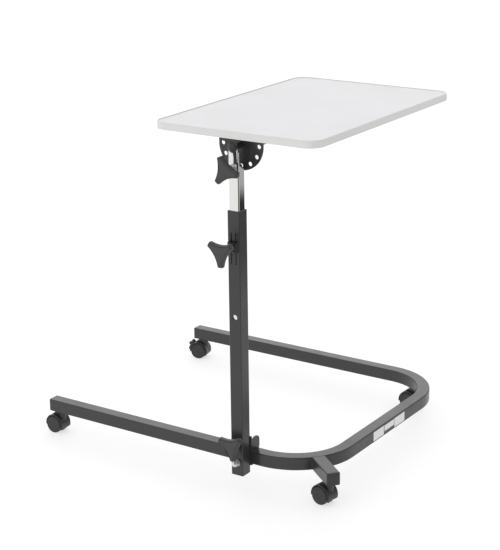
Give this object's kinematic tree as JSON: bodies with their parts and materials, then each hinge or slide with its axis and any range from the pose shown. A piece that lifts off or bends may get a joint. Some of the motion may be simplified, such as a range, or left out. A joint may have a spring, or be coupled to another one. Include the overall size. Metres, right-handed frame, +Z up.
{
  "type": "overbed table",
  "caption": "Height-adjustable tilting overbed table: white top on a sliding post clamped in a side mast, over a U-shaped base with swivel casters.",
  "frame": {"origin": "on the floor under the middle of the whole object's box", "axes": "+Z up; +X from the open leg ends towards the closed end of the base; +Y from the mast's leg towards the far leg"},
  "size_m": [0.8251, 0.7322, 0.8161],
  "materials": {
    "black_frame": "semi-gloss black powder coat",
    "bright_post": "polished chrome plate",
    "zinc_steel": "bright zinc plate",
    "black_plastic": "moulded, satin",
    "knob_plastic": "moulded, fine grain",
    "white_laminate": "white high-pressure laminate, fine texture",
    "board_core": "particle board",
    "edge_plastic": "pale grey extruded PVC",
    "label_film": "plain film, no print",
    "caster_plastic": "moulded nylon",
    "wheel_plastic": "moulded nylon tread",
    "axle_steel": "plain steel",
    "brake_plastic": "moulded nylon"
  },
  "bodies": {
    "base": {"base_frame": "black_frame", "outrigger_tube": "black_frame", "leg_cap_near": "black_plastic", "leg_cap_far": "black_plastic", "outrigger_cap": "black_plastic", "mast_foot_cap": "black_plastic", "mast_bracket": "black_frame", "mast_tube": "black_frame", "mast_guide_bush": "black_plastic", "clamp_bridge": "black_frame", "caster_sockets": "zinc_steel", "caster_stems": "zinc_steel", "blank_labels": "label_film", "mast_bolt": "zinc_steel", "acorn_nut": "zinc_steel", "mast_bolt_washers": "zinc_steel", "bracket_weld_nut": "black_frame", "clamp_nut": "black_frame"},
    "post": {"post_tube": "bright_post", "post_foot_plug": "black_plastic", "pivot_bolt": "zinc_steel", "pivot_spacer": "black_plastic", "pivot_nut": "zinc_steel", "pivot_cap": "black_plastic", "tilt_nut": "zinc_steel", "tilt_washer": "zinc_steel"},
    "top": {"tilt_plate": "black_frame", "mounting_plate": "black_frame", "mounting_screws": "zinc_steel", "table_board": "board_core", "top_laminate": "white_laminate", "edge_band": "edge_plastic"},
    "mast_knob_turner": {"mast_knob": "knob_plastic", "mast_knob_stud": "zinc_steel"},
    "height_knob_turner": {"height_knob": "knob_plastic", "height_knob_stud": "zinc_steel"},
    "tilt_knob_turner": {"tilt_knob": "knob_plastic", "tilt_knob_stud": "zinc_steel"},
    "near_leg_caster": {"near_leg_caster_hood": "caster_plastic", "near_leg_caster_axle": "axle_steel"},
    "near_leg_wheel_front_body": {"near_leg_wheel_front": "wheel_plastic"},
    "near_leg_wheel_rear_body": {"near_leg_wheel_rear": "wheel_plastic"},
    "far_leg_caster": {"far_leg_caster_hood": "caster_plastic", "far_leg_caster_axle": "axle_steel"},
    "far_leg_wheel_front_body": {"far_leg_wheel_front": "wheel_plastic"},
    "far_leg_wheel_rear_body": {"far_leg_wheel_rear": "wheel_plastic"},
    "far_leg_brake": {"far_leg_brake_lever": "brake_plastic"},
    "far_corner_caster": {"far_corner_caster_hood": "caster_plastic", "far_corner_caster_axle": "axle_steel"},
    "far_corner_wheel_front_body": {"far_corner_wheel_front": "wheel_plastic"},
    "far_corner_wheel_rear_body": {"far_corner_wheel_rear": "wheel_plastic"},
    "outrigger_caster": {"outrigger_caster_hood": "caster_plastic", "outrigger_caster_axle": "axle_steel"},
    "outrigger_wheel_front_body": {"outrigger_wheel_front": "wheel_plastic"},
    "outrigger_wheel_rear_body": {"outrigger_wheel_rear": "wheel_plastic"}
  },
  "joints": [
    {"name": "height_slide", "type": "slide", "parent": "base", "child": "post", "axis": [0, 0, 1], "range_m": [-0.078, 0.11]},
    {"name": "top_tilt", "type": "hinge", "parent": "post", "child": "top", "pos_m": [0.1784, -0.2953, 0.78], "axis": [0, 1, 0], "range_deg": [-90, 90]},
    {"name": "mast_knob_turn", "type": "hinge", "parent": "base", "child": "mast_knob_turner", "pos_m": [0.1784, -0.3321, 0.114], "axis": [0, 1, 0], "range_deg": [-360, 120]},
    {"name": "height_knob_turn", "type": "hinge", "parent": "base", "child": "height_knob_turner", "pos_m": [0.1784, -0.3591, 0.5655], "axis": [0, 1, 0], "range_deg": [-360, 120]},
    {"name": "tilt_knob_turn", "type": "hinge", "parent": "post", "child": "tilt_knob_turner", "pos_m": [0.1784, -0.3371, 0.735], "axis": [0, 1, 0], "range_deg": [-360, 120]},
    {"name": "near_leg_swivel", "type": "hinge", "parent": "base", "child": "near_leg_caster", "pos_m": [-0.3676, -0.2591, 0.05], "axis": [0, 0, 1], "continuous": true},
    {"name": "near_leg_wheel_front_spin", "type": "hinge", "parent": "near_leg_caster", "child": "near_leg_wheel_front_body", "pos_m": [-0.3816, -0.2591, 0.021], "axis": [0, 1, 0], "continuous": true},
    {"name": "near_leg_wheel_rear_spin", "type": "hinge", "parent": "near_leg_caster", "child": "near_leg_wheel_rear_body", "pos_m": [-0.3816, -0.2591, 0.021], "axis": [0, 1, 0], "continuous": true},
    {"name": "far_leg_swivel", "type": "hinge", "parent": "base", "child": "far_leg_caster", "pos_m": [-0.3676, 0.3459, 0.05], "axis": [0, 0, 1], "continuous": true},
    {"name": "far_leg_wheel_front_spin", "type": "hinge", "parent": "far_leg_caster", "child": "far_leg_wheel_front_body", "pos_m": [-0.38129, 0.34299, 0.021], "axis": [-0.2079, 0.9781, 0], "continuous": true},
    {"name": "far_leg_wheel_rear_spin", "type": "hinge", "parent": "far_leg_caster", "child": "far_leg_wheel_rear_body", "pos_m": [-0.38129, 0.34299, 0.021], "axis": [-0.2079, 0.9781, 0], "continuous": true},
    {"name": "far_leg_brake_lift", "type": "hinge", "parent": "far_leg_caster", "child": "far_leg_brake", "pos_m": [-0.40403, 0.33816, 0.03916], "axis": [-0.2079, 0.9781, 0], "range_deg": [0, 20]},
    {"name": "far_corner_swivel", "type": "hinge", "parent": "base", "child": "far_corner_caster", "pos_m": [0.28694, 0.32539, 0.05], "axis": [0, 0, 1], "continuous": true},
    {"name": "far_corner_wheel_front_spin", "type": "hinge", "parent": "far_corner_caster", "child": "far_corner_wheel_front_body", "pos_m": [0.27294, 0.32539, 0.021], "axis": [0, 1, 0], "continuous": true},
    {"name": "far_corner_wheel_rear_spin", "type": "hinge", "parent": "far_corner_caster", "child": "far_corner_wheel_rear_body", "pos_m": [0.27294, 0.32539, 0.021], "axis": [0, 1, 0], "continuous": true},
    {"name": "outrigger_swivel", "type": "hinge", "parent": "base", "child": "outrigger_caster", "pos_m": [0.38444, -0.25856, 0.05], "axis": [0, 0, 1], "continuous": true},
    {"name": "outrigger_wheel_front_spin", "type": "hinge", "parent": "outrigger_caster", "child": "outrigger_wheel_front_body", "pos_m": [0.3706, -0.25649, 0.021], "axis": [0.1478, 0.989, 0], "continuous": true},
    {"name": "outrigger_wheel_rear_spin", "type": "hinge", "parent": "outrigger_caster", "child": "outrigger_wheel_rear_body", "pos_m": [0.3706, -0.25649, 0.021], "axis": [0.1478, 0.989, 0], "continuous": true}
  ]
}
